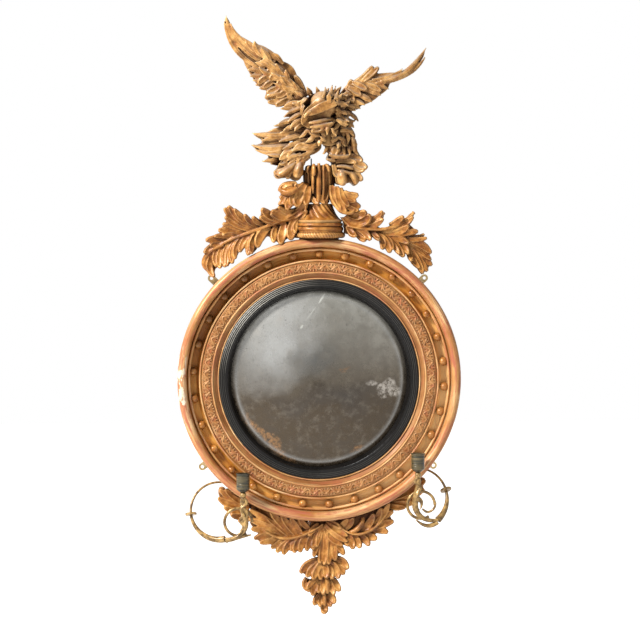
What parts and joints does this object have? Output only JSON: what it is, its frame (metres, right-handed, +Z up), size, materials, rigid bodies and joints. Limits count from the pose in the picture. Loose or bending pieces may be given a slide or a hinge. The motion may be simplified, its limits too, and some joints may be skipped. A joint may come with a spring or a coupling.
{
  "type": "girandole mirror",
  "caption": "Round convex girandole mirror in a gilt carved frame with an eagle on a plinth, leaf sprays, a pendant apron and two swinging brass candle arms.",
  "frame": {"origin": "centre of the round frame's back face, which lies on the wall", "axes": "+Z up, the front faces -Y, +Y points into the wall, +X to the right seen from the front"},
  "size_m": [0.6099, 0.114, 1.287],
  "materials": {
    "gilt_frame": "water-gilded pine, worn to a warm orange brown, satin",
    "gilt_rim": "gilding rubbed through to red bole on a turned rim, satin",
    "gilt_ribbon": "gilded composition ornament, dull gold with dark recesses",
    "gilt_ball": "burnished gilding",
    "gilt_plinth": "gilded carved pine, worn",
    "gilt_eagle": "gilded carved pine, burnished on the ridges, brown in the cuts",
    "gilt_leaf": "gilded carved pine, burnished on the ridges, brown in the cuts",
    "ebonised_wood": "ebonised, satin",
    "mirror_glass": "foxed and clouded mercury silvering",
    "pine": "bare pine",
    "steel": "plain steel",
    "iron": "dark iron",
    "brass_plate": "tarnished brass",
    "arm_brass": "gilt brass, worn, satin",
    "cup_brass": "patinated green-brown brass, satin"
  },
  "bodies": {
    "mirror": {"frame_carcass": "gilt_frame", "outer_rim": "gilt_rim", "ribbon_band": "gilt_ribbon", "inner_moulding": "gilt_frame", "ebonised_slip": "ebonised_wood", "mirror_plate": "mirror_glass", "glass_packing": "pine", "backboard": "pine", "backboard_screws": "steel", "cove_balls": "gilt_ball", "wall_plate_screws": "brass_plate", "chain_pin": "iron", "crest_dowels": "pine", "apron_block": "pine", "upper_right_wall_plate": "brass_plate", "lower_right_wall_plate": "brass_plate", "lower_left_wall_plate": "brass_plate", "upper_left_wall_plate": "brass_plate", "plinth_base": "gilt_plinth", "plinth_rope": "gilt_plinth", "plinth_socle": "gilt_plinth", "plinth_column": "gilt_plinth", "eagle_head": "gilt_eagle", "eagle_left_wing": "gilt_eagle", "eagle_right_wing": "gilt_eagle", "eagle_left_leg": "gilt_eagle", "eagle_right_leg": "gilt_eagle", "eagle_tail": "gilt_eagle", "eagle_body": "gilt_eagle", "left_bracket_leaf": "gilt_leaf", "right_bracket_leaf": "gilt_leaf", "left_spray": "gilt_leaf", "right_spray": "gilt_leaf", "pendant_leaf": "gilt_leaf", "apron_left_leaf": "gilt_leaf", "apron_right_leaf": "gilt_leaf", "apron_left_side_leaf": "gilt_leaf", "apron_right_side_leaf": "gilt_leaf", "pendant_upper": "gilt_leaf", "pendant_middle": "gilt_leaf", "pendant_lower": "gilt_leaf", "left_arm_bracket": "arm_brass", "left_hinge_pin": "steel", "right_arm_bracket": "arm_brass", "right_hinge_pin": "steel"},
    "left_arm": {"left_arm_tube": "arm_brass", "left_arm_collar": "arm_brass", "left_arm_horn": "arm_brass", "left_arm_stem": "arm_brass", "left_arm_ring": "arm_brass", "left_arm_leaf": "arm_brass", "left_candle_cup": "cup_brass"},
    "right_arm": {"right_arm_tube": "arm_brass", "right_arm_collar": "arm_brass", "right_arm_horn": "arm_brass", "right_arm_stem": "arm_brass", "right_arm_ring": "arm_brass", "right_arm_leaf": "arm_brass", "right_candle_cup": "cup_brass"}
  },
  "joints": [
    {"name": "left_arm_swing", "type": "hinge", "parent": "mirror", "child": "left_arm", "pos_m": [-0.19177, -0.022, -0.22979], "axis": [0, 0, 1], "range_deg": [-30, 12]},
    {"name": "right_arm_swing", "type": "hinge", "parent": "mirror", "child": "right_arm", "pos_m": [0.2175, -0.022, -0.196], "axis": [0, 0, 1], "range_deg": [-12, 30]}
  ]
}
